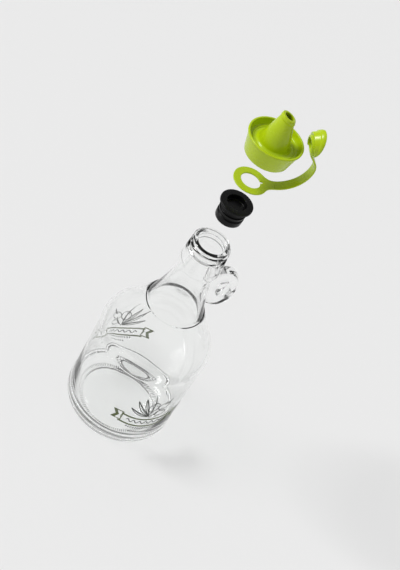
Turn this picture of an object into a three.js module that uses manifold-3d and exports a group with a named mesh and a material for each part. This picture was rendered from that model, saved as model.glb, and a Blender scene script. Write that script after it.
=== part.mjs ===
// A glass oil bottle with a finger loop, a finned rubber plug, a pourer with a drip cup, and a flexible
// strap that ties the spout's cap to the neck. Millimetres, +Z up along the bottle's axis, the loop and the
// strap towards +X. The loose pieces stand lifted off the neck, one above the other, in assembly order.
import * as THREE from 'three';
import { mergeVertices } from 'three/addons/utils/BufferGeometryUtils.js';
import Module from 'manifold-3d';

const wasm = await Module();
wasm.setup();

const ROUND = 40; // sides of a large round
const ROUND_SMALL = 32; // sides of a small round

const bottle = {
  height: 186, bodyR: 41, panelR: 40.4, panelLow: 15, panelHigh: 80, panelEdge: 1.2, wall: 2.8,
  shoulderRise: 10.8, shoulderReach: 13.1, shoulderDrop: 26.5, creaseR: 21.4, creaseZ: 121, ledge: 0.7,
  neckR: 12.9, neckZ: 156,
  beadR: 14.8, beadTopR: 13.9, beadLow: 162.5, beadHigh: 178.6, beadRound: 4.5,
  lipR: 12.45, lipRound: 0.8, boreR: 9.5, boreLow: 163,
  ringInR: 30, ringOutR: 32.4, heelH: 9.5, pushUp: 3.4, floor: 6.6,
};
const thread = { radius: 1.15, pitch: 2.9, turns: 1.5, low: 180.3, steps: 36 };
const loop = {
  x: 21.3, z: 146.7, halfX: 11.8, halfZ: 17.8, holeX: 23.9, holeZ: 146.2, holeHalfX: 3.8, holeHalfZ: 6,
  thick: 8.4, round: 2.6,
};
const plug = {
  top: 224.6, flangeR: 10.95, flangeH: 1.5, height: 14.1, grooveR: 8.2,
  recessR: 6.65, recessDepth: 3.8, membrane: 1, hollowR: 6.2, slit: 0.5,
  fins: [[9.2, 6.2, 7.7], [9.1, 9.8, 14.1]],
};
const strap = {
  top: 244.8, ringR: 11.2, holeR: 6.4, thick: 1.1, width: 6.6, flareR: 8,
  notchR: 8.2, notchW: 1.7, bendR: 19.6, bendX: 12.6, firstHinge: -48, secondHinge: 0,
  curlR: 10.5, curlEnd: 44, tail: 6.8, jointGap: 0.6,
};
const cap = {
  tilt: 26, mouthX: 21.3, mouthAboveRing: 36.7, mouthSlant: 10, flangeSlant: 7, stepSlant: 21, endSlant: 29,
  collarR: 6.2, collarH: 1.5, offCentre: 0.9, ringR: 7.3, ringH: 2, puckR: 7.9, puckH: 4.1, edge: 0.9,
  boreR: 4.9, topWall: 1.9, cutAcross: 3, cutH: 0.3,
};
const pourer = {
  base: 266.8, baseR: 14.3, rimR: 17.7, height: 14.2, wall: 1.3, rimH: 1.2, rimOut: 0.5,
  floor: 10, floorH: 1.4, skirtLowR: 12.9, skirtHighR: 14.7, bossR: 8, boreWidens: 7.2,
  coneR: 12.4, coneZ: 3, tipR: 4, tipZ: 31.6, coneWall: 0.95, beadR: 0.4, beadH: 1.6, cutTilt: 18.4,
  stemR: 6, stemBoreR: 4.8, stemH: 4.3, keyR: 7.7, keyW: 1.1, keyH: 1.3,
};

const glass = { color: 0xeef2ee, roughness: 0.03, metalness: 0 };
const rubber = { color: 0x1c1c1d, roughness: 0.5, metalness: 0 };
const lime = { color: 0xa9c41e, roughness: 0.35, metalness: 0 };

/** A closed three.js geometry as a manifold solid. */
function solid(geometry) {
  const plain = geometry.index ? geometry.clone() : geometry;
  plain.deleteAttribute('normal');
  plain.deleteAttribute('uv');
  const merged = mergeVertices(plain, 1e-4);
  const index = merged.index.array;
  const kept = [];
  for (let i = 0; i < index.length; i += 3) {
    const [a, b, c] = [index[i], index[i + 1], index[i + 2]];
    if (a !== b && b !== c && c !== a) kept.push(a, b, c);
  }
  const mesh = new wasm.Mesh({
    numProp: 3,
    vertProperties: new Float32Array(merged.attributes.position.array),
    triVerts: new Uint32Array(kept),
  });
  return new wasm.Manifold(mesh);
}

/** A named mesh of a manifold solid. */
function meshOf(name, shape, look) {
  const { vertProperties, triVerts } = shape.getMesh();
  const geometry = new THREE.BufferGeometry();
  geometry.setAttribute('position', new THREE.BufferAttribute(new Float32Array(vertProperties), 3));
  geometry.setIndex(new THREE.BufferAttribute(new Uint32Array(triVerts), 1));
  geometry.computeVertexNormals();
  const mesh = new THREE.Mesh(geometry, new THREE.MeshStandardMaterial(look));
  mesh.name = name;
  return mesh;
}

/** A solid of revolution about Z from an outline of (radius, height) points. */
function turned(outline, divisions = 6, sides = ROUND) {
  const points = outline instanceof THREE.Path ? outline.getPoints(divisions) : outline;
  return solid(new THREE.LatheGeometry(points, sides).rotateX(Math.PI / 2));
}

/** A plain cylinder about Z between two heights. */
function cylinder(radius, low, high, sides = ROUND) {
  const geometry = new THREE.CylinderGeometry(radius, radius, high - low, sides);
  return solid(geometry.rotateX(Math.PI / 2).translate(0, 0, (low + high) / 2));
}

/** A box from its size and centre. */
function block(size, centre) {
  return solid(new THREE.BoxGeometry(...size).translate(...centre));
}

/** An XZ outline extruded along Y, centred on Y = 0, with rounded edges where round is given. */
function slab(shape, thick, round = 0, curveSegments = 16) {
  const geometry = new THREE.ExtrudeGeometry(shape, {
    depth: thick - 2 * round, curveSegments, bevelEnabled: round > 0,
    bevelSize: round, bevelThickness: round, bevelOffset: -round, bevelSegments: 3,
  });
  return solid(geometry.translate(0, 0, round - thick / 2).rotateX(Math.PI / 2));
}

/** Adds the rounded shoulder to an outline, from the label panel's top up to the crease at the neck. */
function shoulder(path, inset) {
  const b = bottle;
  const low = b.panelHigh + b.panelEdge;
  const side = b.bodyR - inset;
  const end = new THREE.Vector2(b.creaseR - inset, b.creaseZ - inset * 0.8);
  path.lineTo(side, low);
  const [leanX, leanY] = [end.x + b.shoulderReach, end.y - b.shoulderDrop];
  path.bezierCurveTo(side, low + b.shoulderRise, leanX, leanY, end.x, end.y);
}

/** The bottle's outer outline, from the middle of the base up to the middle of the mouth. */
function bottleOutside() {
  const b = bottle;
  const path = new THREE.Path();
  path.moveTo(0, b.pushUp);
  path.quadraticCurveTo(b.ringInR * 0.7, b.pushUp, b.ringInR - 1.5, 1.1);
  path.lineTo(b.ringInR, 0);
  path.lineTo(b.ringOutR, 0);
  path.absellipse(b.ringOutR, b.heelH, b.bodyR - b.ringOutR, b.heelH, -Math.PI / 2, 0, false);
  path.lineTo(b.bodyR, b.panelLow - b.panelEdge);
  path.lineTo(b.panelR, b.panelLow);
  path.lineTo(b.panelR, b.panelHigh);
  shoulder(path, 0);
  path.lineTo(b.creaseR - b.ledge, b.creaseZ + b.ledge / 4);
  path.quadraticCurveTo(b.neckR + 2, b.creaseZ + 16, b.neckR, b.neckZ);
  path.quadraticCurveTo(b.neckR, b.beadLow, b.beadR - 1.2, b.beadLow);
  path.quadraticCurveTo(b.beadR + 0.1, b.beadLow, b.beadR, b.beadLow + b.beadRound);
  path.lineTo(b.beadTopR, b.beadHigh - 1);
  path.lineTo(b.lipR, b.beadHigh);
  path.lineTo(b.lipR, b.height - b.lipRound);
  path.absarc(b.lipR - b.lipRound, b.height - b.lipRound, b.lipRound, 0, Math.PI / 2, false);
  path.lineTo(0, b.height);
  return path;
}

/** The hollow inside the bottle, open past the lip. */
function bottleInside() {
  const b = bottle;
  const w = b.wall;
  const r = b.bodyR - w;
  const path = new THREE.Path();
  path.moveTo(0, b.floor);
  path.lineTo(r - b.heelH, b.floor);
  path.absellipse(r - b.heelH, b.floor + b.heelH, b.heelH, b.heelH, -Math.PI / 2, 0, false);
  shoulder(path, w);
  path.quadraticCurveTo(b.boreR + 3, b.creaseZ + 16, b.boreR, b.boreLow);
  path.lineTo(b.boreR, b.height - 0.6);
  path.lineTo(b.boreR + 0.6, b.height);
  path.lineTo(b.boreR + 0.6, b.height + 1);
  path.lineTo(0, b.height + 1);
  return path;
}

/** The path of the thread round the lip, drawn inwards at both ends to fade into the wall. */
class ThreadPath extends THREE.Curve {
  getPoint(t, target = new THREE.Vector3()) {
    const turn = t * thread.turns * 2 * Math.PI;
    const fade = Math.min(1, Math.min(t, 1 - t) * 12);
    const r = bottle.lipR - thread.radius * (1 - fade);
    return target.set(r * Math.cos(turn), r * Math.sin(turn), thread.low + t * thread.turns * thread.pitch);
  }
}

function threadRidge() {
  const section = new THREE.Shape();
  section.absarc(0, 0, thread.radius, 0, 2 * Math.PI, false);
  const path = new ThreadPath();
  const along = { steps: thread.steps, extrudePath: path, bevelEnabled: false, curveSegments: 8 };
  return solid(new THREE.ExtrudeGeometry(section, along));
}

/** The thick glass ear beside the neck, with its finger hole. */
function fingerLoop() {
  const ear = new THREE.Shape();
  ear.absellipse(loop.x, loop.z, loop.halfX, loop.halfZ, 0, 2 * Math.PI, false);
  const hole = new THREE.Path();
  hole.absellipse(loop.holeX, loop.holeZ, loop.holeHalfX, loop.holeHalfZ, 0, 2 * Math.PI, true);
  ear.holes.push(hole);
  return slab(ear, loop.thick, loop.round, 10);
}

function glassBottle() {
  const outside = turned(bottleOutside(), 4).add(threadRidge()).add(fingerLoop());
  return meshOf('glass_bottle', outside.subtract(turned(bottleInside(), 4)), glass);
}

/** The finned stopper: flange, two fins, a recess on top, a hollow below, a slit membrane between them. */
function rubberPlug() {
  const p = plug;
  const outline = [new THREE.Vector2(0, 0), new THREE.Vector2(p.flangeR - 0.3, 0)];
  outline.push(new THREE.Vector2(p.flangeR, -0.3), new THREE.Vector2(p.flangeR, -p.flangeH));
  outline.push(new THREE.Vector2(p.grooveR, -p.flangeH - 0.8));
  for (const [radius, high, low] of p.fins) {
    outline.push(new THREE.Vector2(p.grooveR, -high + 0.5), new THREE.Vector2(radius, -high));
    outline.push(new THREE.Vector2(radius - 0.25, -low));
    if (low < p.height) outline.push(new THREE.Vector2(p.grooveR, -low - 0.4));
  }
  outline.push(new THREE.Vector2(0, -p.height));
  const membraneLow = p.recessDepth + p.membrane;
  const shape = turned(outline.reverse())
    .subtract(cylinder(p.recessR, -p.recessDepth, 1, ROUND_SMALL))
    .subtract(cylinder(p.hollowR, -p.height - 1, -membraneLow, ROUND_SMALL))
    .subtract(block([p.recessR * 1.2, p.slit, 3 * p.membrane], [0, 0, -p.recessDepth - p.membrane / 2]))
    .subtract(block([p.slit, p.recessR * 1.2, 3 * p.membrane], [0, 0, -p.recessDepth - p.membrane / 2]));
  return meshOf('rubber_plug', shape.translate([0, 0, p.top]), rubber);
}

/** A stretch of band bent round a centre between two angles, as a solid above the ring's middle plane. */
function bandStretch(from, to, radius = strap.bendR, centreX = strap.bendX) {
  const half = strap.thick / 2;
  const [a, b] = [from, to].map(THREE.MathUtils.degToRad);
  const shape = new THREE.Shape();
  shape.absarc(centreX, strap.bendR, radius + half, a, b, false);
  shape.absarc(centreX, strap.bendR, radius - half, b, a, true);
  shape.closePath();
  return slab(shape, strap.width, 0, 10);
}

const ringMiddle = strap.top - strap.thick / 2;
const gapAngle = THREE.MathUtils.radToDeg(strap.jointGap / 2 / strap.bendR);

/** The ring that lies on the plug, its keyhole, and the arm up to the first flexing line. */
function strapRing() {
  const s = strap;
  const half = s.width / 2;
  const plan = new THREE.Shape();
  const meet = Math.asin((half + s.flareR) / (s.ringR + s.flareR));
  const flareX = (s.ringR + s.flareR) * Math.cos(meet);
  plan.absarc(0, 0, s.ringR, meet, 2 * Math.PI - meet, false);
  plan.absarc(flareX, -half - s.flareR, s.flareR, Math.PI - meet, Math.PI / 2, true);
  plan.lineTo(flareX, half);
  plan.absarc(flareX, half + s.flareR, s.flareR, -Math.PI / 2, -Math.PI + meet, true);
  const hole = new THREE.Path();
  hole.absarc(0, 0, s.holeR, 0, 2 * Math.PI, true);
  plan.holes.push(hole);
  const flat = new THREE.ExtrudeGeometry(plan, { depth: s.thick, bevelEnabled: false, curveSegments: 20 });
  const shape = solid(flat.translate(0, 0, -s.thick / 2))
    .add(bandStretch(-90, s.firstHinge - gapAngle))
    .subtract(block([s.notchR, s.notchW, 3], [s.notchR / 2, 0, 0]));
  return meshOf('strap_ring', shape.translate([0, 0, ringMiddle]), lime);
}

function strapBand() {
  const shape = bandStretch(strap.firstHinge + gapAngle, strap.secondHinge - gapAngle);
  return meshOf('strap_band', shape.translate([0, 0, ringMiddle]), lime);
}

/** A cylinder about Z between two planes that lean towards +X, given by where they cross the axis. */
function slantedDisc(radius, low, lowSlant, high, highSlant) {
  const below = block([60, 60, 40], [0, 0, -20])
    .rotate([0, lowSlant, 0])
    .translate([0, 0, low]);
  const above = block([60, 60, 40], [0, 0, 20])
    .rotate([0, highSlant, 0])
    .translate([0, 0, high]);
  return cylinder(radius, -20, 30, ROUND_SMALL).subtract(below).subtract(above);
}

/** The slanted cap that closes the spout, its collar and bore, and the last stretch of the band. */
function spoutCap() {
  const c = cap;
  const top = c.collarH + c.puckH;
  const step = c.collarH + c.ringH;
  const head = slantedDisc(c.puckR - c.edge, step, c.stepSlant, top, c.endSlant)
    .add(slantedDisc(c.puckR, step, c.stepSlant, top - c.edge, c.endSlant))
    .add(slantedDisc(c.ringR, c.collarH, c.flangeSlant, top - c.edge, c.endSlant))
    .translate([-c.offCentre, 0, 0]);
  const collarCut = block([c.collarR, 3 * c.collarR, c.collarR], [0, 0, c.cutH - c.collarR / 2]);
  const puck = head
    .add(slantedDisc(c.collarR, 0, c.mouthSlant, c.collarH + 0.3, c.flangeSlant))
    .subtract(slantedDisc(c.boreR, -3, c.mouthSlant, top - c.topWall, c.endSlant))
    .subtract(collarCut.translate([c.cutAcross + c.collarR / 2, 0, 0]))
    .rotate([0, 90 - c.tilt, 0])
    .translate([c.mouthX, 0, c.mouthAboveRing]);
  const curlX = strap.bendX + strap.bendR - strap.curlR;
  const curlEnd = THREE.MathUtils.degToRad(strap.curlEnd);
  const straight = block([strap.thick, strap.width, strap.tail], [0, 0, strap.tail / 2 - 0.05])
    .rotate([0, -strap.curlEnd, 0])
    .translate([curlX + strap.curlR * Math.cos(curlEnd), 0, strap.bendR + strap.curlR * Math.sin(curlEnd)]);
  const curlGap = (gapAngle * strap.bendR) / strap.curlR;
  const tail = bandStretch(strap.secondHinge + curlGap, strap.curlEnd, strap.curlR, curlX).add(straight);
  return meshOf('spout_cap', puck.add(tail).translate([0, 0, ringMiddle]), lime);
}

/** The drip cup on its hollow skirt, the pouring cone that stands in it and the stem for the plug. */
function pourerBody() {
  const p = pourer;
  const coneSlope = (p.coneR - p.tipR) / (p.tipZ - p.coneZ);
  const coneAt = (z) => p.coneR - (z - p.coneZ) * coneSlope;
  const top = p.tipZ + 4;
  const rimLow = p.height - p.rimH;
  const outside = [
    [0, -p.stemH], [p.stemR - 0.3, -p.stemH], [p.stemR, -p.stemH + 0.3], [p.stemR, 0],
    [p.bossR, 0], [p.bossR, p.floor - p.floorH], [p.skirtHighR, p.floor - p.floorH], [p.skirtLowR, 0],
    [p.baseR - 0.5, 0], [p.baseR, 0.5], [p.rimR - p.rimOut, rimLow], [p.rimR, rimLow], [p.rimR, p.height],
    [p.rimR - p.wall, p.height], [p.rimR - p.wall - 1, p.floor + 0.7], [p.rimR - p.wall - 1.6, p.floor],
    [coneAt(p.floor), p.floor],
    [coneAt(p.tipZ - p.beadH - 0.6), p.tipZ - p.beadH - 0.6],
    [coneAt(p.tipZ - p.beadH) + p.beadR, p.tipZ - p.beadH], [coneAt(top) + p.beadR, top], [0, top],
  ];
  const inside = [
    [0, -p.stemH - 1], [p.stemBoreR, -p.stemH - 1], [p.stemBoreR, p.boreWidens],
    [coneAt(p.floor) - p.coneWall, p.floor], [coneAt(top) - p.coneWall, top + 1], [0, top + 1],
  ];
  const asOutline = (list) => list.map(([r, z]) => new THREE.Vector2(r, z));
  const cut = block([30, 30, 20], [0, 0, 10])
    .rotate([0, p.cutTilt, 0])
    .translate([0, 0, p.tipZ]);
  const key = block([p.keyR, p.keyW, p.keyH + 0.5], [p.keyR / 2, 0, 0.25 - p.keyH / 2]);
  const shape = turned(asOutline(outside)).add(key).subtract(turned(asOutline(inside))).subtract(cut);
  return meshOf('pourer', shape.translate([0, 0, p.base]), lime);
}

const group = new THREE.Group();
group.add(glassBottle(), rubberPlug(), strapRing(), strapBand(), spoutCap(), pourerBody());
export default group;
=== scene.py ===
"""Looks of the glass oil bottle: smooth glass with its thread, loop and knurled base, a rubber plug, a
lime plastic pourer, and the strap that ties the spout's cap to the neck. Sizes are in millimetres; MM scales
them to metres."""

import math

import bpy
from mathutils import Matrix, Vector

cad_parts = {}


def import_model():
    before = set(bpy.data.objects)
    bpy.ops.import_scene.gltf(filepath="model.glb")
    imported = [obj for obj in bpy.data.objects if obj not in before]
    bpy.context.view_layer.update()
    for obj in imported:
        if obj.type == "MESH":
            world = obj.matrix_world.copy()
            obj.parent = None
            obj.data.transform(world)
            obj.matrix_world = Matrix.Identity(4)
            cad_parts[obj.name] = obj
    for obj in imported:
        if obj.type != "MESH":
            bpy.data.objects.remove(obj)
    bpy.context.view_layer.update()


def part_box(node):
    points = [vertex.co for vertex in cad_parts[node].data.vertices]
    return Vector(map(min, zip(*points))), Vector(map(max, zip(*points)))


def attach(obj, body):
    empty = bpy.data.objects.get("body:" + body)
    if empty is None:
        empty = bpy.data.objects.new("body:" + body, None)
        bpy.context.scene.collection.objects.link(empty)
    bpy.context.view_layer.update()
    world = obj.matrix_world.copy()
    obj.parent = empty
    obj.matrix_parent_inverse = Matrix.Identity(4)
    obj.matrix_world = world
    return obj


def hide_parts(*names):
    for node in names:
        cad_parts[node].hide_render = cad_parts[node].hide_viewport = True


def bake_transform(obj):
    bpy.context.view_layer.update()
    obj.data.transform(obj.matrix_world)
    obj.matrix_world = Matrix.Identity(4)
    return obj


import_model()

MM = 0.001

# Heights that the frame gives. POURER_BASE is the underside of the drip cup, and the stem hangs below it.
BOTTLE_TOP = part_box("glass_bottle")[1].z / MM
PLUG_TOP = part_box("rubber_plug")[1].z / MM
RING_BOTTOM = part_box("strap_ring")[0].z / MM
POURER_STEM = 4.3
POURER_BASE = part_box("pourer")[0].z / MM + POURER_STEM

# The bottle, from its base up.
BODY_R, PANEL_R, WALL = 41.0, 40.4, 2.8
PANEL_LOW, PANEL_HIGH, PANEL_EDGE = 15.0, 80.0, 1.2
RING_OUT_R, HEEL_H, PUSH_UP = 32.4, 9.5, 3.4
FLOOR_Z, FLOOR_RISE = 6.6, 0.7
SHOULDER_LOW, SHOULDER_RISE, SHOULDER_REACH, SHOULDER_DROP = 83, 10.8, 13.1, 26.5
CREASE_R, CREASE_Z = 21.4, 121.0
NECK_R, NECK_Z = 12.9, 156.0
LIP_R, BORE_R = 12.45, 9.5
BEAD_R, BEAD_TOP_R, BEAD_LOW, BEAD_HIGH = 14.8, 13.9, 162.5, 178.6


# ---------------------------------------------------------------- outlines


def arc(cx, cy, r, start, end, steps=8):
    """Points on a circle between two angles in degrees."""
    turns = [math.radians(start + (end - start) * i / steps) for i in range(steps + 1)]
    return [(cx + r * math.cos(a), cy + r * math.sin(a)) for a in turns]


def bezier(points, steps=12):
    """Points on a Bezier curve of any degree, the first control point left out."""
    out = []
    for i in range(1, steps + 1):
        level, t = [Vector(p) for p in points], i / steps
        while len(level) > 1:
            level = [a.lerp(b, t) for a, b in zip(level, level[1:])]
        out.append(tuple(level[0]))
    return out


def line(start, end, steps):
    """Evenly spaced points on a line, the start left out."""
    a, b = Vector(start), Vector(end)
    return [tuple(a.lerp(b, i / steps)) for i in range(1, steps + 1)]


def rounded(corners, steps=4):
    """An outline through corners (x, y, radius of the corner), each corner rounded."""
    out = []
    for i, (x, y, r) in enumerate(corners):
        here = Vector((x, y))
        if r == 0 or i in (0, len(corners) - 1):
            out.append((x, y))
            continue
        before, after = (Vector(corners[j][:2]) - here for j in (i - 1, i + 1))
        half = before.angle(after) / 2
        reach = min(r / math.tan(half), before.length * 0.49, after.length * 0.49)
        first, last = here + before.normalized() * reach, here + after.normalized() * reach
        out += [tuple(first)] + bezier([first, here, last], steps)
    return out


# ------------------------------------------------------------------ meshes


def make(name, verts, faces, material, sharp=38):
    """A mesh object from points in millimetres, smooth apart from edges sharper than an angle in degrees."""
    mesh = bpy.data.meshes.new(name)
    mesh.from_pydata([Vector(v) * MM for v in verts], [], faces)
    mesh.validate()
    mesh.materials.append(material)
    obj = bpy.data.objects.new(name, mesh)
    bpy.context.scene.collection.objects.link(obj)
    smooth(obj, sharp)
    return obj


def smooth(obj, sharp=38):
    """Smooth shading, apart from edges sharper than an angle in degrees."""
    obj.data.shade_smooth()
    obj.data.set_sharp_from_angle(angle=math.radians(sharp))


def lathe(outline, sides, shape=None, closed=False):
    """Vertices and faces of an outline of (radius, height) turned about Z, moved by shape(r, z, angle)."""
    verts, rings = [], []
    for r, z in outline:
        if r < 1e-6:
            rings.append([len(verts)])
            verts.append((0, 0, z))
            continue
        rings.append(list(range(len(verts), len(verts) + sides)))
        for k in range(sides):
            angle = 2 * math.pi * k / sides
            rr, zz = shape(r, z, angle) if shape else (r, z)
            verts.append((rr * math.cos(angle), rr * math.sin(angle), zz))
    faces = []
    pairs = list(zip(rings, rings[1:])) + ([(rings[-1], rings[0])] if closed else [])
    for a, b in pairs:
        for k in range(sides):
            n = (k + 1) % sides
            corners = [a[k % len(a)], a[n % len(a)], b[n % len(b)], b[k % len(b)]]
            faces.append([c for i, c in enumerate(corners) if c != corners[i - 1]])
    return verts, faces


def moved(verts, by):
    """Vertices shifted along X, Y and Z."""
    return [(x + by[0], y + by[1], z + by[2]) for x, y, z in verts]


def boolean(obj, other, operation):
    """Cuts or joins another object into obj, then removes the other."""
    m = obj.modifiers.new(operation, "BOOLEAN")
    m.object, m.operation, m.solver = other, operation, "EXACT"
    result = bpy.data.meshes.new_from_object(obj.evaluated_get(bpy.context.evaluated_depsgraph_get()))
    obj.modifiers.clear()
    obj.data = result
    bpy.data.objects.remove(other)


# --------------------------------------------------------------- materials


def principled(name, colour, roughness, **sockets):
    """A material with one Principled shader; sockets are its inputs by name, with _ for a space."""
    m = bpy.data.materials.new(name)
    m.use_nodes = True
    shader = m.node_tree.nodes["Principled BSDF"]
    shader.inputs["Base Color"].default_value = (*colour, 1)
    shader.inputs["Roughness"].default_value = roughness
    for socket, value in sockets.items():
        shader.inputs[socket.replace("_", " ")].default_value = value
    return m, m.node_tree, shader


def noise(tree, scale, detail=3.0):
    """A noise pattern fixed to the object, in cycles per metre."""
    coords = tree.nodes.new("ShaderNodeTexCoord")
    n = tree.nodes.new("ShaderNodeTexNoise")
    n.inputs["Scale"].default_value = scale
    n.inputs["Detail"].default_value = detail
    tree.links.new(coords.outputs["Object"], n.inputs["Vector"])
    return n.outputs["Fac"]


def bumped(tree, shader, height, distance, strength=1.0):
    """Gives a shader the fine relief of a pattern, its full depth in metres."""
    b = tree.nodes.new("ShaderNodeBump")
    b.inputs["Distance"].default_value = distance
    b.inputs["Strength"].default_value = strength
    tree.links.new(height, b.inputs["Height"])
    tree.links.new(b.outputs["Normal"], shader.inputs["Normal"])


def varied(tree, shader, socket, factor, low, high):
    """Drives a socket between two values or colours by a pattern."""
    ramp = tree.nodes.new("ShaderNodeValToRGB")
    ends = [v if isinstance(v, tuple) else (v, v, v) for v in (low, high)]
    ramp.color_ramp.elements[0].color = (*ends[0], 1)
    ramp.color_ramp.elements[1].color = (*ends[1], 1)
    ramp.color_ramp.elements[0].position = 0.35
    ramp.color_ramp.elements[1].position = 0.65
    tree.links.new(factor, ramp.inputs["Fac"])
    tree.links.new(ramp.outputs["Color"], shader.inputs[socket])


def clear_glass():
    """Clear bottle glass with the faint waviness of a blown and moulded wall. Shadow and diffuse rays pass
    straight through it, so that what stands behind it is lit."""
    m, tree, shader = principled("clear_glass", (0.992, 0.997, 0.993), 0.0, IOR=1.5, Transmission_Weight=1.0)
    bumped(tree, shader, noise(tree, 55, 2), 0.0004, 0.25)
    nodes, links = tree.nodes, tree.links
    passing, mix = nodes.new("ShaderNodeBsdfTransparent"), nodes.new("ShaderNodeMixShader")
    passing.inputs["Color"].default_value = (0.985, 0.987, 0.986, 1)
    path, either = nodes.new("ShaderNodeLightPath"), nodes.new("ShaderNodeMath")
    either.operation = "MAXIMUM"
    links.new(path.outputs["Is Shadow Ray"], either.inputs[0])
    links.new(path.outputs["Is Diffuse Ray"], either.inputs[1])
    links.new(either.outputs["Value"], mix.inputs["Fac"])
    links.new(shader.outputs["BSDF"], mix.inputs[1])
    links.new(passing.outputs["BSDF"], mix.inputs[2])
    links.new(mix.outputs["Shader"], nodes["Material Output"].inputs["Surface"])
    return m


def black_rubber():
    """Dark rubber with a fine grain, its sheen a little uneven."""
    m, tree, shader = principled("black_rubber", (0.0025, 0.0025, 0.0027), 0.3, Specular_IOR_Level=0.16)
    bumped(tree, shader, noise(tree, 2600, 4), 0.00004, 0.25)
    varied(tree, shader, "Roughness", noise(tree, 320), 0.24, 0.36)
    return m


def lime_plastic():
    """Glossy moulded plastic."""
    m, tree, shader = principled(
        "lime_plastic", (0.4, 0.53, 0.003), 0.25, IOR=1.49, Specular_IOR_Level=0.35)
    varied(tree, shader, "Base Color", noise(tree, 90, 2), (0.39, 0.52, 0.002), (0.41, 0.54, 0.004))
    varied(tree, shader, "Roughness", noise(tree, 260), 0.22, 0.29)
    bumped(tree, shader, noise(tree, 700, 2), 0.00001, 0.12)
    return m


def print_ink(name, colour):
    """Screen-printed ink, a little uneven where it lies thin."""
    m, tree, shader = principled(name, colour, 0.5)
    thin = tuple(c * 1.35 + 0.01 for c in colour)
    varied(tree, shader, "Base Color", noise(tree, 1400, 3), colour, thin)
    bumped(tree, shader, noise(tree, 2400, 2), 0.00003, 0.4)
    return m


GLASS = clear_glass()
RUBBER = black_rubber()
LIME = lime_plastic()
INK = print_ink("print_ink", (0.018, 0.022, 0.014))
GREEN = print_ink("print_green", (0.075, 0.1, 0.024))


# ------------------------------------------------------------- glass bottle

THREAD_LOW, THREAD_PITCH, THREAD_TURNS = 180.3, 2.9, 1.5
THREAD_RISE, THREAD_HALF, THREAD_FADE = 1.15, 1.1, 0.12
KNURLS, KNURL_RISE, KNURL_R, KNURL_REACH, KNURL_TOP = 120, 0.8, 31.6, 2.9, 2.5


def thread_rise(z, angle):
    """How far the thread stands out of the lip at a height and an angle. It fades in and out at its ends."""
    rise = 0.0
    for whole in range(2):
        turn = whole + angle / (2 * math.pi)
        if turn > THREAD_TURNS:
            continue
        off = (z - THREAD_LOW - turn * THREAD_PITCH) / THREAD_HALF
        fade = min(1.0, turn / THREAD_FADE, (THREAD_TURNS - turn) / THREAD_FADE)
        if abs(off) < 1:
            rise = max(rise, THREAD_RISE * fade * (1 - off**2) ** 0.8)
    return rise


def shaped_outside(r, z, angle):
    """The thread round the lip and the small ridges under the bearing ring."""
    if z > BEAD_HIGH:
        return r + thread_rise(z, angle) * (r > LIP_R - 0.05), z
    if z < KNURL_TOP:
        near = max(0.0, 1 - abs(r - KNURL_R) / KNURL_REACH)
        ridge = 0.5 + 0.5 * math.cos(KNURLS * angle)
        return r, z + KNURL_RISE * ridge * min(1.0, 2 * near)
    return r, z


def quarter_round(start_r, low, reach, steps):
    """The heel's curve, out from a radius by a reach while it climbs by HEEL_H, its start left out."""
    turns = [math.pi / 2 * i / steps for i in range(1, steps + 1)]
    return [(start_r + reach * math.sin(a), low + HEEL_H - HEEL_H * math.cos(a)) for a in turns]


def outside_outline():
    """The wall's outer side, from the middle of the base up to the top of the lip."""
    push_up_end, ring_low = (28.5, 1.0), (30.4, 0)
    foot = bezier([(0, PUSH_UP), (21, PUSH_UP), push_up_end], 10)
    foot += bezier([push_up_end, (29.3, 0.0), ring_low], 5) + line(ring_low, (RING_OUT_R, 0), 3)
    heel = quarter_round(RING_OUT_R, 0, BODY_R - RING_OUT_R, 16)
    panel = rounded([
        (BODY_R, HEEL_H, 0), (BODY_R, PANEL_LOW - PANEL_EDGE, 1), (PANEL_R, PANEL_LOW, 1),
        (PANEL_R, PANEL_HIGH, 1), (BODY_R, PANEL_HIGH + PANEL_EDGE, 1), (BODY_R, SHOULDER_LOW, 0)])[1:]
    shoulder = bezier([(BODY_R, SHOULDER_LOW), (BODY_R, PANEL_HIGH + PANEL_EDGE + SHOULDER_RISE),
                       (CREASE_R + SHOULDER_REACH, CREASE_Z - SHOULDER_DROP), (CREASE_R, CREASE_Z)], 28)
    neck_low = (CREASE_R - 0.7, CREASE_Z + 0.2)
    neck = bezier([neck_low, (14.9, 137), (NECK_R, NECK_Z)], 18)
    bead_foot, bead_side, lip_low, lip_high = (13.6, BEAD_LOW), (BEAD_R, 167), (LIP_R, 179.4), (LIP_R, 185.2)
    bead = bezier([(NECK_R, NECK_Z), (NECK_R, BEAD_LOW), bead_foot], 8)
    bead += bezier([bead_foot, (BEAD_R + 0.1, BEAD_LOW), bead_side], 8)
    bead += rounded([
        (*bead_side, 0), (BEAD_TOP_R, BEAD_HIGH - 1, 0.8), (LIP_R, BEAD_HIGH, 0.5), (*lip_low, 0)])[1:]
    lip = line(lip_low, lip_high, 26) + arc(LIP_R - 0.8, lip_high[1], 0.8, 0, 90, 5)[1:]
    return [(0, PUSH_UP)] + foot + heel + panel + shoulder + [neck_low] + neck + bead + lip


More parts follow.
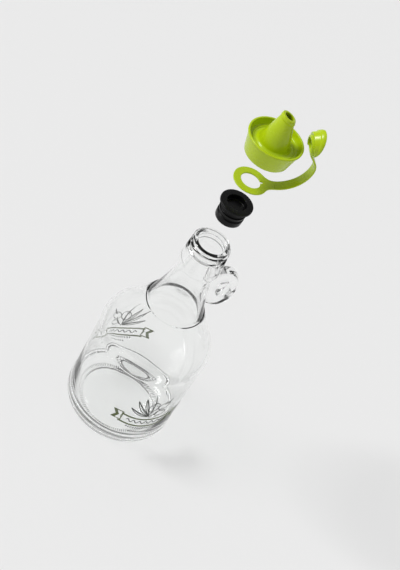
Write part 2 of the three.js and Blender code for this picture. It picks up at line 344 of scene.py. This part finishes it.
def inside_outline():
    """The hollow, a closed solid that stands out of the mouth."""
    r = BODY_R - WALL
    middle, heel_r, mouth_r = (0, FLOOR_Z + FLOOR_RISE), r - HEEL_H, BORE_R + 0.9
    floor = bezier([middle, (18, FLOOR_Z + FLOOR_RISE), (26, FLOOR_Z)], 10) + [(heel_r, FLOOR_Z)]
    heel = quarter_round(heel_r, FLOOR_Z, HEEL_H, 12)
    low, end = (r, PANEL_HIGH + PANEL_EDGE), (CREASE_R - WALL, CREASE_Z - WALL * 0.8)
    leaning = (end[0] + SHOULDER_REACH, end[1] - SHOULDER_DROP)
    shoulder = bezier([low, (r, low[1] + SHOULDER_RISE), leaning, end], 24)
    neck = bezier([end, (BORE_R + 3, 137), (BORE_R, 163)], 20)
    mouth = rounded([(BORE_R, 163, 0), (BORE_R, BOTTLE_TOP - 0.7, 0.4), (mouth_r, BOTTLE_TOP + 0.3, 0)])[1:]
    past = [(mouth_r, BOTTLE_TOP + 1), (0, BOTTLE_TOP + 1)]
    return [middle] + floor + heel + [(r, 40), low] + shoulder + neck + mouth + past


def finger_loop(rounds=72, around=28):
    """The ear beside the neck: a thick rounded section swept between its outer oval and the hole's oval."""
    (ear_x, ear_z), (ear_half_x, ear_half_z), half_thick = (21.3, 146.7), (11.8, 17.8), 4.2
    (hole_x, hole_z), (hole_half_x, hole_half_z), squareness = (23.9, 146.2), (3.8, 6.0), 0.62
    verts = []
    for i in range(rounds):
        a = 2 * math.pi * i / rounds
        outer = Vector((ear_x + ear_half_x * math.cos(a), ear_z + ear_half_z * math.sin(a)))
        inner = Vector((hole_x + hole_half_x * math.cos(a), hole_z + hole_half_z * math.sin(a)))
        middle, half = (outer + inner) / 2, (outer - inner) / 2
        for k in range(around):
            s = 2 * math.pi * k / around
            u, v = (math.copysign(abs(f(s)) ** squareness, f(s)) for f in (math.cos, math.sin))
            p = middle + half * u
            verts.append((p.x, half_thick * v, p.y))
    faces = []
    for i in range(rounds):
        for k in range(around):
            n, m = (i + 1) % rounds, (k + 1) % around
            faces.append([i * around + k, i * around + m, n * around + m, n * around + k])
    return verts, faces


def glass_bottle():
    """The wall joined with its loop, less the hollow, so that the glass is one closed solid."""
    outline = outside_outline() + [(0, BOTTLE_TOP)]
    outer = make("bottle_glass", *lathe(outline, 480, shaped_outside), GLASS)
    ear = make("ear", *finger_loop(), GLASS)
    boolean(outer, ear, "UNION")
    hollow = make("hollow", *lathe(inside_outline(), 240), GLASS)
    boolean(outer, hollow, "DIFFERENCE")
    smooth(outer, 32)
    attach(outer, "bottle")
    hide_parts("glass_bottle")


# -------------------------------------------------------------- rubber plug


def rubber_plug():
    """The finned stopper: a flange, a groove, two fins, a recess above and a hollow below a thin membrane,
    drawn without its slit.
    """
    low, recess, under = -14.1, -3.8, -4.8
    recess_r, flange_r, groove_r, hollow_r = 6.65, 10.95, 8.2, 6.2
    outline = rounded([
        (0, recess, 0), (recess_r, recess, 0.5), (recess_r, 0, 0.35), (flange_r, 0, 0.35),
        (flange_r, -1.5, 0.3), (groove_r, -2.4, 0.5), (groove_r, -5.9, 0.5), (9.2, -6.2, 0.15),
        (9.0, -7.7, 0.35), (groove_r, -8.1, 0.4), (groove_r, -9.4, 0.4), (9.1, -9.8, 0.15),
        (8.9, low, 0.6), (hollow_r, low, 0.4), (hollow_r, under, 0.4), (0, under, 0)])
    verts, faces = lathe(outline, 160)
    plug = make("plug_rubber", moved(verts, (0, 0, PLUG_TOP)), faces, RUBBER)
    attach(plug, "plug")
    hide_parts("rubber_plug")


# ------------------------------------------------------------------ pourer

TIP_SLANT = math.tan(math.radians(18.4))
SLANT_LOW, SLANT_HIGH = 18, 27
CUP_TOP, CUP_FLOOR, BORE_TOP = 14.2, 10, 7.2
STEM_R, STEM_BORE_R = 6, 4.8
KEY_R, KEY_HALF, KEY_LOW, KEY_HIGH = 7.7, 0.55, -1.3, 0.3


def slanted_tip(r, z, angle):
    """Leans the rim of the tip so that it faces +X."""
    share = min(1.0, max(0.0, (z - SLANT_LOW) / (SLANT_HIGH - SLANT_LOW)))
    return r, z - share * r * math.cos(angle) * TIP_SLANT


def cone(z):
    """The cone's outer radius at a height over the underside of the cup."""
    (foot_r, foot), (top_r, top) = (12.4, 3), (4.0, 31.6)
    return foot_r - (z - foot) * (foot_r - top_r) / (top - foot)


def pourer():
    """Drip cup, cone with its thick oblique lip, and the stem below with its key."""
    stem = [
        (STEM_BORE_R, -POURER_STEM, 0), (STEM_R - 0.3, -POURER_STEM, 0.2),
        (STEM_R, 0.3 - POURER_STEM, 0.2), (STEM_R, 0, 0.2)]
    skirt = [(8, 0, 0.3), (8, 8.6, 0.5), (14.7, 8.6, 0.6), (12.9, 0, 0.3)]
    cup_wall = [
        (14.3, 0, 0.8), (17.0, 12.7, 0.15), (17.2, 13.0, 0.15), (17.7, 13.1, 0.4), (17.7, CUP_TOP, 0.5),
        (16.5, CUP_TOP, 0.4), (16.2, 13.0, 0.2), (15.6, 11.2, 0.3), (14.9, 10.1, 0.5)]
    raised_ring = [
        (13.7, CUP_FLOOR, 0.2), (13.5, 10.4, 0.2), (12.9, 10.4, 0.2), (12.7, CUP_FLOOR, 0.2)]
    cone_outside = [
        (cone(CUP_FLOOR) + 0.9, CUP_FLOOR, 0.3), (cone(10.6) + 0.25, 10.6, 0.3),
        (cone(11.2) - 0.05, 11.2, 0.3), (cone(15.5) - 0.2, 15.5, 5), (cone(28.6), 28.6, 0.4)]
    lip = [
        (cone(29.3) + 0.45, 29.3, 0.3), (cone(31.3) + 0.5, 31.4, 0.45),
        (cone(31.4) - 1.3, 31.7, 0.45), (cone(29.5) - 1.3, 29.5, 0.5)]
    bore = [
        (cone(SLANT_HIGH) - 1.0, SLANT_HIGH, 0), (cone(CUP_FLOOR) - 1.0, CUP_FLOOR, 0.8),
        (STEM_BORE_R, BORE_TOP, 0.5), (STEM_BORE_R, -POURER_STEM, 0)]
    outline = rounded(stem + skirt + cup_wall + raised_ring + cone_outside + lip + bore)
    verts, faces = lathe(outline[:-1], 160, slanted_tip, closed=True)
    cup = make("pourer_cup", moved(verts, (0, 0, POURER_BASE)), faces, LIME)
    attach(cup, "spout")
    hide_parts("pourer")
    verts, faces = rounded_box((STEM_R - 0.4, KEY_R), (-KEY_HALF, KEY_HALF), (KEY_LOW, KEY_HIGH), 0.2)
    key = make("pourer_key", moved(verts, (0, 0, POURER_BASE)), faces, LIME)
    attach(key, "spout")


def rounded_box(xs, ys, zs, r):
    """Vertices and faces of a box with its four upright edges rounded."""
    left, right, near, far = xs[0] + r, xs[1] - r, ys[0] + r, ys[1] - r
    plan = []
    for cx, cy, start in ((right, far, 0), (left, far, 90), (left, near, 180), (right, near, 270)):
        plan += arc(cx, cy, r, start, start + 90, 4)
    n = len(plan)
    verts = [(x, y, z) for z in zs for x, y in plan]
    faces = [list(range(n))[::-1], [n + i for i in range(n)]]
    faces += [[i, (i + 1) % n, n + (i + 1) % n, n + i] for i in range(n)]
    return verts, faces


# ------------------------------------------------------------------- strap

THICK, WIDTH, EDGE_R = 1.1, 6.6, 0.28
RING_R, HOLE_R, FLARE_R, NOTCH_R, NOTCH_W = 11.2, 6.4, 8.0, 8.2, 1.7
BEND_R, BEND_X, CURL_R, CURL_END, TAIL = 19.6, 12.6, 10.5, 44.0, 6.8
ARM_END, LOWER_END, UPPER_END = -64, -26, 24  # where the rigid arm and the two bending stretches end
CURL_X = BEND_X + BEND_R - CURL_R
RING_MIDDLE = RING_BOTTOM + THICK / 2


def on_band(angle):
    """Centre line of the band at an angle in degrees, as X and Z: the place and the outward direction. Below
    0 degrees it runs on the wide bend out of the ring, above on the tighter curl towards the cap."""
    a = math.radians(angle)
    x, r = (BEND_X, BEND_R) if angle <= 0 else (CURL_X, CURL_R)
    out = Vector((math.cos(a), math.sin(a)))
    return Vector((x, BEND_R + RING_MIDDLE)) + out * r, out


def band_sections(start, end, steps):
    """Sections of the band between two angles, both ends included."""
    return [on_band(start + (end - start) * i / steps) for i in range(steps + 1)]


def band(name, sections):
    """A strip with rounded edges along sections of (centre, outward direction)."""
    y, t = WIDTH / 2 - EDGE_R, THICK / 2 - EDGE_R
    profile = []
    for cy, ct, start in ((y, t, 0), (-y, t, 90), (-y, -t, 180), (y, -t, 270)):
        profile += arc(cy, ct, EDGE_R, start, start + 90, 3)
    n = len(profile)
    verts = []
    for centre, out in sections:
        for y, t in profile:
            p = centre + out * t
            verts.append((p.x, y, p.y))
    faces = [list(range(n)), [len(verts) - n + i for i in range(n)][::-1]]
    for s in range(len(sections) - 1):
        a, b = s * n, (s + 1) * n
        faces += [[a + i, b + i, b + (i + 1) % n, a + (i + 1) % n] for i in range(n)]
    return make(name, verts, faces, LIME)


def filled_plate(name, outlines, thick, edge):
    """A flat plate with rounded edges from closed outlines in plan: the outside, then the holes."""
    curve = bpy.data.curves.new(name, "CURVE")
    curve.dimensions, curve.fill_mode = "2D", "BOTH"
    curve.extrude, curve.bevel_depth, curve.bevel_resolution = (thick / 2 - edge) * MM, edge * MM, 2
    curve.offset = -edge * MM
    for outline in outlines:
        spline = curve.splines.new("POLY")
        spline.points.add(len(outline) - 1)
        spline.use_cyclic_u = True
        for point, (x, y) in zip(spline.points, outline):
            point.co = (x * MM, y * MM, 0, 1)
    source = bpy.data.objects.new(name + "_curve", curve)
    bpy.context.scene.collection.objects.link(source)
    mesh = bpy.data.meshes.new_from_object(source.evaluated_get(bpy.context.evaluated_depsgraph_get()))
    bpy.data.objects.remove(source)
    obj = bpy.data.objects.new(name, mesh)
    bpy.context.scene.collection.objects.link(obj)
    mesh.materials.clear()
    mesh.materials.append(LIME)
    return obj


def strap_ring():
    """The keyholed plate and its flared arm, rolled up onto the bend. Returns the angle where it ends."""
    half = WIDTH / 2
    meet = math.degrees(math.asin((half + FLARE_R) / (RING_R + FLARE_R)))
    flare_x = (RING_R + FLARE_R) * math.cos(math.radians(meet))
    outer = arc(0, 0, RING_R, meet, 360 - meet, 72)
    outer += arc(flare_x, -half - FLARE_R, FLARE_R, 180 - meet, 90, 12)[1:]
    outer += arc(flare_x, half + FLARE_R, FLARE_R, 270, 180 + meet, 12)[:-1]
    notch = math.degrees(math.asin(NOTCH_W / 2 / HOLE_R))
    hole = arc(0, 0, HOLE_R, notch, 360 - notch, 60) + [(NOTCH_R, -NOTCH_W / 2), (NOTCH_R, NOTCH_W / 2)]
    plate = filled_plate("strap_ring_plate", [outer, hole[::-1]], THICK, 0.2)
    for v in plate.data.vertices:
        turn = max(0.0, v.co.x / MM - BEND_X) / BEND_R
        rise = v.co.z / MM
        if turn > 0:
            v.co.x = (BEND_X + (BEND_R - rise) * math.sin(turn)) * MM
            rise = BEND_R - (BEND_R - rise) * math.cos(turn)
        v.co.z = (RING_MIDDLE + rise) * MM
    smooth(plate, 35)
    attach(plate, "strap")
    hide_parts("strap_ring")
    return -90 + math.degrees((flare_x - BEND_X) / BEND_R)


def flexing(piece):
    """Bakes the placement of a stretch of band, which bends between two bodies, into its mesh."""
    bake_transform(piece)


def strap():
    """The ring, the rigid arm beside it, and the two stretches of band that bend."""
    ring_end = strap_ring()
    arm = band("strap_arm", band_sections(ring_end, ARM_END, 8))
    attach(arm, "strap")
    lower = band("strap_lower_band", band_sections(ARM_END, LOWER_END, 24))
    flexing(lower)
    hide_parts("strap_band")
    upper = band("strap_upper_band",
                 band_sections(LOWER_END, 0, 14)[:-1] + band_sections(0, UPPER_END, 16))
    flexing(upper)


# --------------------------------------------------------------------- cap

CAP_TILT = 26.0
CAP_MOUTH = (21.3, 36.7)  # X, and height over the middle of the ring


def slanted_rings(rings, sides):
    """Vertices of circles (radius, height on the axis, slant in degrees, centre on X), each in a plane that
    leans towards +X by its slant. A circle at least as wide as the one before it stays above it."""
    verts, last, before = [], [-math.inf] * sides, 0.0
    for r, z, slant, cx in rings:
        lean = math.tan(math.radians(slant))
        for k in range(sides):
            a = 2 * math.pi * k / sides
            x, y = cx + r * math.cos(a), r * math.sin(a)
            height = z - x * lean
            last[k] = max(last[k] + 0.01, height) if r >= before else height
            verts.append((x, y, last[k]))
        before = r
    return verts


def spout_cap(sides=96):
    """The cap at the end of the strap: a collar, a wider head with a rolled edge, its mouth, and its tail."""
    off, top, slant, mouth_r = -0.9, 5.6, 29, 4.9
    collar = [
        (mouth_r + 0.1, 0.0, 10, 0), (5.9, 0.0, 10, 0), (6.2, 0.2, 10, 0),
        (6.2, 1.4, 7, 0), (6.3, 1.5, 7, 0)]
    head = [
        (7.1, 1.5, 7, off), (7.3, 1.7, 8, off), (7.3, 3.2, 19, off), (7.45, 3.4, 20, off),
        (7.7, 3.5, 21, off), (7.9, 3.75, 21, off), (7.9, 4.4, 27, off), (7.85, 4.85, 28, off)]
    face = [(7.7, 5.15), (7.4, 5.38), (6.9, 5.5), (5.5, 5.57), (3, 5.59), (1, top)]
    outside = collar + head + [(r, z, slant, off) for r, z in face]
    inside = [
        (mouth_r, 0.1, 10, 0), (mouth_r, 3.1, 28, 0), (4.6, 3.5, slant, 0), (2.5, 3.6, slant, 0),
        (0.8, 3.6, slant, 0)]
    verts = slanted_rings(outside, sides)
    first_inside = len(outside)
    verts += slanted_rings(inside, sides)
    strap_side, lowest = 3, 0.3
    verts = [(x, y, max(z, lowest)) if x > strap_side else (x, y, z) for x, y, z in verts]
    faces = []

    def wall(a, b, flip=False):
        for k in range(sides):
            n = (k + 1) % sides
            quad = [a * sides + k, a * sides + n, b * sides + n, b * sides + k]
            faces.append(quad[::-1] if flip else quad)

    for i in range(len(outside) - 1):
        wall(i, i + 1)
    wall(first_inside, 0)
    for i in range(len(inside) - 1):
        wall(first_inside + i, first_inside + i + 1, flip=True)
    faces.append([(len(outside) - 1) * sides + k for k in range(sides)])
    faces.append([(first_inside + len(inside) - 1) * sides + k for k in range(sides)][::-1])
    place = (Matrix.Translation((CAP_MOUTH[0], 0, CAP_MOUTH[1] + RING_MIDDLE))
             @ Matrix.Rotation(math.radians(90 - CAP_TILT), 4, "Y"))
    cap = make("spout_cap_head", [tuple(place @ Vector(v)) for v in verts], faces, LIME)
    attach(cap, "cap")
    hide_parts("spout_cap")
    sections = band_sections(UPPER_END, CURL_END, 12)
    centre, out = sections[-1]
    along = Vector((-out.y, out.x))
    sections += [(centre + along * TAIL * i / 4, out) for i in range(1, 5)]
    tail = band("spout_cap_tail", sections)
    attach(tail, "cap")


# ------------------------------------------------------------------ prints

PRINT_R = PANEL_R + 0.04
PRINT_WIDE, PRINT_TALL = 0.98, 1.35
PRINTS = {"front": (-81, 35.0), "rear": (101, 38.0)}  # azimuth and height of the banner
BANNER_HALF, BANNER_EDGE, BANNER_SAG = 19, 3.2, 2.2


def on_panel(u, v, side):
    """A point of a print on the panel, u along the wall and v up from the middle of the banner."""
    azimuth, height = PRINTS[side]
    a = math.radians(azimuth) + u * PRINT_WIDE / PRINT_R
    return PRINT_R * math.cos(a), PRINT_R * math.sin(a), height + v * PRINT_TALL


def strip(upper, lower):
    """A strip between two lines of (u, v) points."""
    n = len(upper)
    return upper + lower, [[i, n + i, n + i + 1, i + 1] for i in range(n - 1)]


def stroke(points, width, taper=False):
    """A line of ink along (u, v) points."""
    upper, lower = [], []
    for i, p in enumerate(points):
        a, b = Vector(points[max(0, i - 1)]), Vector(points[min(len(points) - 1, i + 1)])
        side = (b - a).normalized().orthogonal() * width / 2
        if taper:
            side *= 0.25 + 0.75 * math.sin(math.pi * min(1.0, (i + 0.5) / len(points)))
        upper.append(tuple(Vector(p) + side))
        lower.append(tuple(Vector(p) - side))
    return strip(upper, lower)


def leaf(base, tip, bow, belly, width):
    """The two edges and the vein of a slender leaf from base to tip, bowed to one side."""
    a, b = Vector(base), Vector(tip)
    side = (b - a).orthogonal().normalized()
    middle = (a + b) / 2 + side * bow
    lines = []
    for out in (belly, -belly):
        wide = a.lerp(b, 0.35) + side * (bow + out)
        narrower = a.lerp(b, 0.7) + side * (bow + out * 0.8)
        lines.append(stroke([base] + bezier([a, wide, narrower, b], 14), width))
    lines.append(stroke([base] + bezier([a, middle, b], 10), width * 0.8, taper=True))
    return lines


def olive(centre, long, short, turn, width):
    """An olive's oval outline with a curved highlight line."""
    c, s = math.cos(math.radians(turn)), math.sin(math.radians(turn))

    def oval(f, start, end, n):
        return [(centre[0] + f * (long * math.cos(a) * c - short * math.sin(a) * s),
                 centre[1] + f * (long * math.cos(a) * s + short * math.sin(a) * c))
                for a in [start + (end - start) * i / n for i in range(n + 1)]]

    highlight = stroke(oval(0.66, 0.3, 1.5, 8), width * 0.7, taper=True)
    return [stroke(oval(1, 0, 2 * math.pi, 32), width), highlight]


def sprig():
    """Three leaves, three olives and their stems, above the banner."""
    w, stem_w, stub_w = 0.62, 0.9, 1.3
    parts = [stroke([(1, 3)] + bezier([(1, 3), (0, 9), (3, 14), (-3, 25)], 20), stem_w, taper=True)]
    parts += leaf((0, 4), (-15, 10), 1.2, 1.3, w) + leaf((0.5, 4.5), (-12.5, 17), 1.4, 1.5, w)
    parts += leaf((0.5, 5), (-7.5, 20), 0.8, 1.6, w)
    parts += [stroke([(1, 4)] + bezier([(1, 4), (5, 6), (8, 12)], 10), stem_w, taper=True)]
    parts += olive((1.0, 12.8), 4.3, 3.2, 55, w) + olive((8.8, 13.6), 4.4, 2.6, 28, w)
    parts += olive((8.2, 7.2), 4.0, 2.2, 14, w)
    parts += [stroke([(9, 15)] + bezier([(9, 15), (12, 16), (13, 20)], 6), stub_w, taper=True)]
    return parts


def banner():
    """A ribbon's two bowed edges and its forked ends."""
    def edge(v, steps=24):
        shares = [i / steps for i in range(steps + 1)]
        return [(BANNER_HALF * (2 * t - 1), v - BANNER_SAG * math.sin(math.pi * t)) for t in shares]

    def on_end(s, points):
        return [(u * s, v) for u, v in points]

    parts = [stroke(edge(BANNER_EDGE), 1.2), stroke(edge(-BANNER_EDGE), 1.2)]
    for s in (-1, 1):
        fork = on_end(s, [(18.0, 4.4), (26.0, 4.4), (22.6, 1.0), (25.6, -2.4), (18.0, -2.4)])
        shade = on_end(s, [(23.2, 4.4), (20.4, 1.2), (22.8, -2.4)])
        fold = on_end(s, [(17.8, -2.4), (20.0, -2.4), (19.0, -4.0), (17.8, -3.4)])
        inner = on_end(s, [(17.9, 3.2), (18.9, 1.0), (18.2, -1.0), (17.9, -2.4)])
        parts += [stroke(fork + [fork[0]], 0.8), strip(fork[1:3], shade[:2]), strip(fork[2:4], shade[1:]),
                  stroke(fold, 0.7), stroke(inner, 0.6)]
    return parts


def ornament():
    """A plain wavy vine inside the banner and rows of dots under it, with no lettering."""
    half, steps, sag, wave, swing = 14, 60, 1.9, 1.0, 0.62
    vine = []
    for i in range(steps + 1):
        u = half * (2 * i / steps - 1)
        bowed = -sag * math.sin(math.pi * (u + BANNER_HALF) / (2 * BANNER_HALF))
        vine.append((u, bowed + wave * math.sin(i * swing)))
    parts = [stroke(vine, 0.7)]
    dot_gap, dot_u, dot_v = 1.9, 0.5, 0.6
    for v, count in ((-7.6, 13), (-11.2, 9)):
        for i in range(count):
            u = (i - (count - 1) / 2) * dot_gap
            middle = v + 0.01 * u * u
            parts.append(stroke([(u - dot_u, middle - dot_v), (u + dot_u, middle + dot_v)], 0.8))
    return parts


def printed(name, parts, side, material):
    """Joins ink strips into one piece on the panel."""
    verts, faces = [], []
    for points, quads in parts:
        faces += [[len(verts) + i for i in q] for q in quads]
        verts += [on_panel(u, v, side) for u, v in points]
    obj = make(name, verts, faces, material)
    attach(obj, "bottle")


def prints():
    """The decoration on both sides: dark ink for the sprig, vine and dots, green for the banner."""
    for side in PRINTS:
        printed(f"print_sprig_{side}", sprig() + ornament(), side, INK)
        printed(f"print_banner_{side}", banner(), side, GREEN)


# ------------------------------------------------------------------- stage


def floor(half=40000):
    """A pale, even floor that reaches past every view."""
    m, _, _ = principled("floor", (0.8, 0.8, 0.8), 0.55, Specular_IOR_Level=0.25)
    corners = [(-half, -half, 0), (half, -half, 0), (half, half, 0), (-half, half, 0)]
    make("floor", corners, [[0, 1, 2, 3]], m)


def soft_light(name, place, spread, strength):
    """A soft, even light from the direction of a place, its softness as the angle it fills in degrees."""
    light = bpy.data.lights.new(name, "SUN")
    light.angle, light.energy = math.radians(spread), strength
    obj = bpy.data.objects.new(name, light)
    obj.rotation_euler = Vector(place).to_track_quat("Z", "Y").to_euler()
    bpy.context.scene.collection.objects.link(obj)


def world(overhead, band, horizon):
    """A plain room: pale up to the horizon, a darker band above it that draws the edges of the glass, and
    light overhead. Each is a grey level."""
    w = bpy.data.worlds.new("studio")
    bpy.context.scene.world = w
    w.use_nodes = True
    nodes, links = w.node_tree.nodes, w.node_tree.links
    coords, split = nodes.new("ShaderNodeTexCoord"), nodes.new("ShaderNodeSeparateXYZ")
    ramp = nodes.new("ShaderNodeValToRGB")
    stops = ((0.2, horizon), (0.27, band), (0.4, band), (0.5, overhead))
    for height, _ in stops[1:-1]:
        ramp.color_ramp.elements.new(height)
    for stop, (height, grey) in zip(ramp.color_ramp.elements, stops):
        stop.position, stop.color = height, (grey, grey, grey, 1)
    links.new(coords.outputs["Generated"], split.inputs["Vector"])
    links.new(split.outputs["Z"], ramp.inputs["Fac"])
    links.new(ramp.outputs["Color"], nodes["Background"].inputs["Color"])


def camera():
    """The camera looks down on the bottle, rolled so that the bottle leans across the picture. The mouth's
    middle stands at aside and above, in metres, from the middle of the view."""
    e, a, roll = math.radians(44.34), math.radians(-30), math.radians(32.08)
    aside, above, distance, lens = 0.00813, 0.02716, 0.70495, 70.02
    heading = Vector((-math.sin(a), math.cos(a), 0))
    right = Vector((math.cos(a), math.sin(a), 0))
    look = heading * math.cos(e) - Vector((0, 0, 1)) * math.sin(e)
    up = right.cross(look)
    across = right * math.cos(roll) + up * math.sin(roll)
    upward = up * math.cos(roll) - right * math.sin(roll)
    mouth = Vector((0, 0, BOTTLE_TOP * MM))
    cam = bpy.data.cameras.new("camera")
    cam.lens, cam.sensor_width, cam.clip_start, cam.clip_end = lens, 36, 0.01, 50
    obj = bpy.data.objects.new("camera", cam)
    obj.matrix_world = Matrix((across, upward, -look)).transposed().to_4x4()
    obj.location = mouth - across * aside - upward * above - look * distance
    bpy.context.scene.collection.objects.link(obj)
    bpy.context.scene.camera = obj


glass_bottle()
rubber_plug()
pourer()
strap()
spout_cap()
prints()
floor()
world(0.48, 0.1, 0.8)
soft_light("key", (-0.9, 0.3, 1.0), 20, 2.6)
camera()
scene = bpy.context.scene
scene.view_settings.view_transform = "Standard"
scene.cycles.max_bounces, scene.cycles.transmission_bounces = 28, 28
scene.cycles.caustics_reflective, scene.cycles.caustics_refractive = False, False
